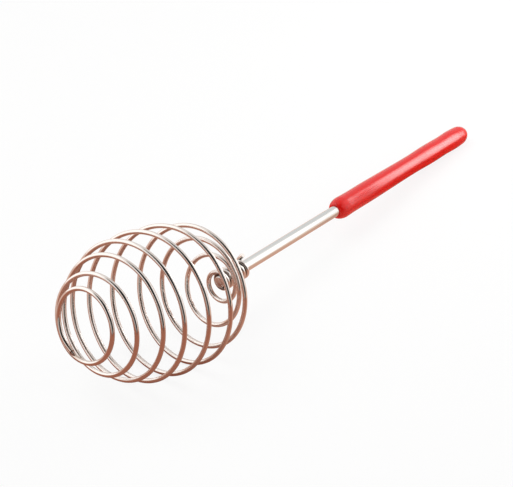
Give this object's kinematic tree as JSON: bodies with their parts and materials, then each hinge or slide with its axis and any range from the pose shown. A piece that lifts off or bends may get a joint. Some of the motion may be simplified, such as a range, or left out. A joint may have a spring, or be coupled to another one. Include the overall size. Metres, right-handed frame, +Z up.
{
  "type": "spring ball whisk",
  "caption": "Egg whisk with a ball of spring wire wound on the end of a straight steel rod and a red dipped vinyl grip; the ball presses in along its axis and springs back.",
  "frame": {"origin": "on the floor under the middle of the whisk's bounding box, with the whisk lying on its ball and on the end of its grip", "axes": "+X along the shank from the ball to the grip, +Z up from the floor, +Y to the side"},
  "size_m": [0.2814, 0.063, 0.0653],
  "materials": {
    "rod_steel": "drawn and polished round steel rod",
    "wire_steel": "bright polished spring wire",
    "weld_steel": "small dull weld bead",
    "red_vinyl": "glossy dip-moulded vinyl"
  },
  "bodies": {
    "handle": {"shank_rod": "rod_steel", "grip": "red_vinyl", "spring_wire": "wire_steel"},
    "nose": {"nose_ring": "wire_steel", "nose_weld": "weld_steel"}
  },
  "joints": [
    {"name": "nose_press", "type": "slide", "parent": "handle", "child": "nose", "axis": [0.9687, -0.1228, -0.2158], "range_m": [0, 0.025], "stiffness_N_per_m": 110, "deforming": ["spring_wire"]}
  ]
}
